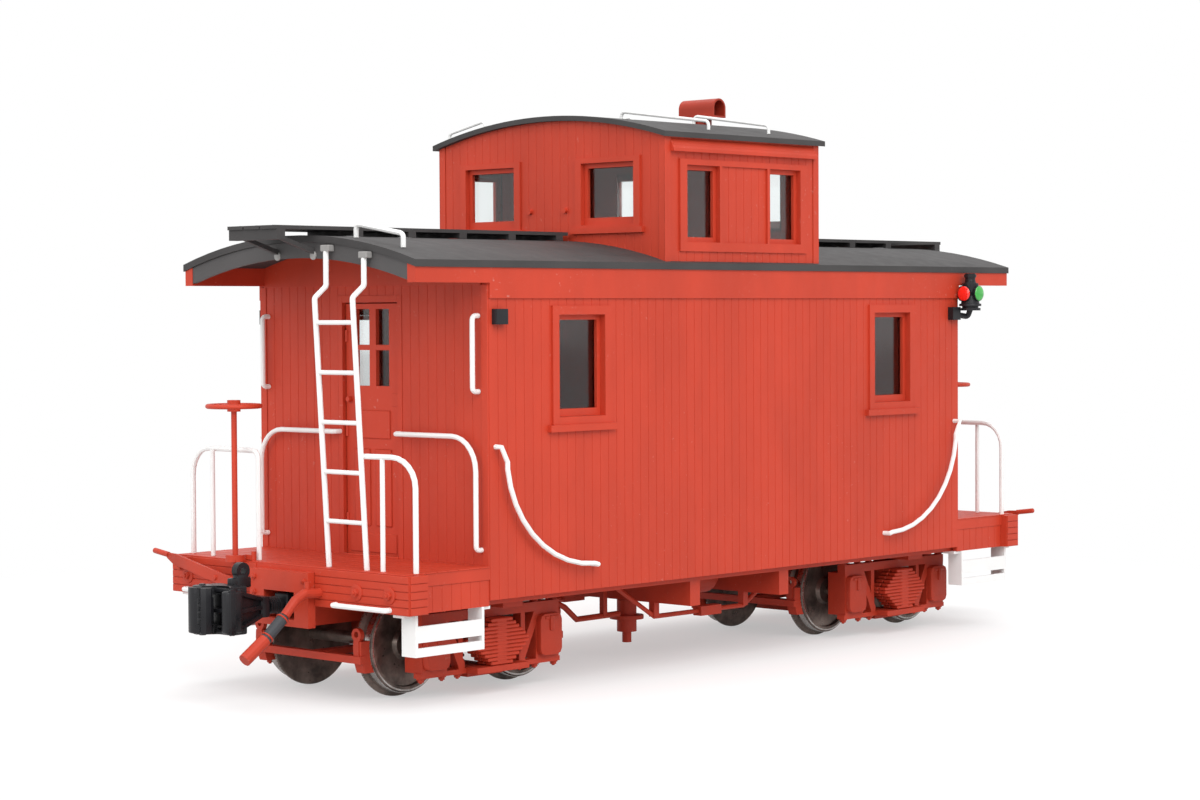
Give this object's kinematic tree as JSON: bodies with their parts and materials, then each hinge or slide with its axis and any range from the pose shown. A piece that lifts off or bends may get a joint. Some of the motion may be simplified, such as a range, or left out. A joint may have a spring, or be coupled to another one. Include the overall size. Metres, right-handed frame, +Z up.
{
  "type": "model railway caboose with a centre cupola",
  "caption": "Large-scale model of a short wooden caboose on swivelling trucks, with a cupola, end platforms, ladders and couplers.",
  "frame": {"origin": "centre of the car, level with the lowest points of the wheel flanges", "axes": "X along the car with its front end at -X, Y across it, +Z up"},
  "size_m": [0.399, 0.1312, 0.2046],
  "materials": {
    "red_paint": "oxide red satin paint over boarded sides, platforms and trucks",
    "roof_paint": "dark warm grey matt paint",
    "white_paint": "white satin paint on wire rails and steps",
    "coupler_black": "black moulded couplers with a slight sheen",
    "lamp_black": "black painted lamp bodies and brackets",
    "hose_rubber": "dark grey rubber",
    "clear_glazing": "clear thin window sheets",
    "wheel_metal": "blackened wheels with bright treads"
  },
  "bodies": {
    "body": {"floor": "red_paint", "side_sills": "red_paint", "centre_sills": "red_paint", "body_bolsters": "red_paint", "needle_beams": "red_paint", "platform_front": "red_paint", "platform_rear": "red_paint", "end_beam_front": "red_paint", "end_beam_rear": "red_paint", "side_wall_left": "red_paint", "side_wall_right": "red_paint", "end_wall_front": "red_paint", "end_wall_rear": "red_paint", "eave_beams": "red_paint", "window_sashes": "red_paint", "window_glass": "clear_glazing", "main_roof": "roof_paint", "roof_fascias": "roof_paint", "roof_walk_front": "roof_paint", "roof_walk_rear": "roof_paint", "cupola_end_front": "red_paint", "cupola_end_rear": "red_paint", "cupola_side_left": "red_paint", "cupola_side_right": "red_paint", "cupola_roof": "roof_paint", "smoke_jack": "red_paint", "roof_grabs": "white_paint", "ladder_front": "white_paint", "ladder_rear": "white_paint", "railing_front": "white_paint", "railing_rear": "white_paint", "side_grabs": "white_paint", "end_grabs": "white_paint", "brake_staffs": "red_paint", "uncoupling_levers": "red_paint", "steps": "white_paint", "hose_fittings": "red_paint", "air_hoses": "hose_rubber", "truss_rods": "red_paint", "air_tank": "red_paint", "brake_pipe": "red_paint", "marker_lamps": "lamp_black"},
    "door_front": {"door_front": "red_paint", "door_glass_front": "clear_glazing"},
    "coupler_front": {"coupler_front": "coupler_black"},
    "knuckle_front": {"knuckle_front": "coupler_black"},
    "truck_front": {"truck_frame_front": "red_paint", "truck_springs_front": "red_paint", "brake_beams_front": "red_paint"},
    "door_rear": {"door_rear": "red_paint", "door_glass_rear": "clear_glazing"},
    "coupler_rear": {"coupler_rear": "coupler_black"},
    "knuckle_rear": {"knuckle_rear": "coupler_black"},
    "truck_rear": {"truck_frame_rear": "red_paint", "truck_springs_rear": "red_paint", "brake_beams_rear": "red_paint"},
    "wheelset_front_outer": {"wheelset_front_outer": "wheel_metal"},
    "wheelset_front_inner": {"wheelset_front_inner": "wheel_metal"},
    "wheelset_rear_inner": {"wheelset_rear_inner": "wheel_metal"},
    "wheelset_rear_outer": {"wheelset_rear_outer": "wheel_metal"}
  },
  "joints": [
    {"name": "truck_front_swivel", "type": "hinge", "parent": "body", "child": "truck_front", "pos_m": [-0.11, 0, 0.026], "axis": [0, 0, 1], "range_deg": [-6, 6]},
    {"name": "wheels_front_outer_spin", "type": "hinge", "parent": "truck_front", "child": "wheelset_front_outer", "pos_m": [-0.136, 0, 0.0175], "axis": [0, 1, 0], "continuous": true},
    {"name": "wheels_front_inner_spin", "type": "hinge", "parent": "truck_front", "child": "wheelset_front_inner", "pos_m": [-0.084, 0, 0.0175], "axis": [0, 1, 0], "continuous": true},
    {"name": "door_front_hinge", "type": "hinge", "parent": "body", "child": "door_front", "pos_m": [-0.1247, -0.0135, 0.086], "axis": [0, 0, -1], "range_deg": [0, 90]},
    {"name": "coupler_front_swing", "type": "hinge", "parent": "body", "child": "coupler_front", "pos_m": [-0.146, 0, 0.0313], "axis": [0, 0, 1], "range_deg": [-5, 5]},
    {"name": "knuckle_front_hinge", "type": "hinge", "parent": "coupler_front", "child": "knuckle_front", "pos_m": [-0.195, 0.0054, 0.0315], "axis": [0, 0, -1], "range_deg": [0, 30]},
    {"name": "truck_rear_swivel", "type": "hinge", "parent": "body", "child": "truck_rear", "pos_m": [0.11, 0, 0.026], "axis": [0, 0, 1], "range_deg": [-6, 6]},
    {"name": "wheels_rear_outer_spin", "type": "hinge", "parent": "truck_rear", "child": "wheelset_rear_outer", "pos_m": [0.136, 0, 0.0175], "axis": [0, 1, 0], "continuous": true},
    {"name": "wheels_rear_inner_spin", "type": "hinge", "parent": "truck_rear", "child": "wheelset_rear_inner", "pos_m": [0.084, 0, 0.0175], "axis": [0, 1, 0], "continuous": true},
    {"name": "door_rear_hinge", "type": "hinge", "parent": "body", "child": "door_rear", "pos_m": [0.1247, 0.0135, 0.086], "axis": [0, 0, -1], "range_deg": [0, 90]},
    {"name": "coupler_rear_swing", "type": "hinge", "parent": "body", "child": "coupler_rear", "pos_m": [0.146, 0, 0.0313], "axis": [0, 0, 1], "range_deg": [-5, 5]},
    {"name": "knuckle_rear_hinge", "type": "hinge", "parent": "coupler_rear", "child": "knuckle_rear", "pos_m": [0.195, -0.0054, 0.0315], "axis": [0, 0, -1], "range_deg": [0, 30]}
  ]
}
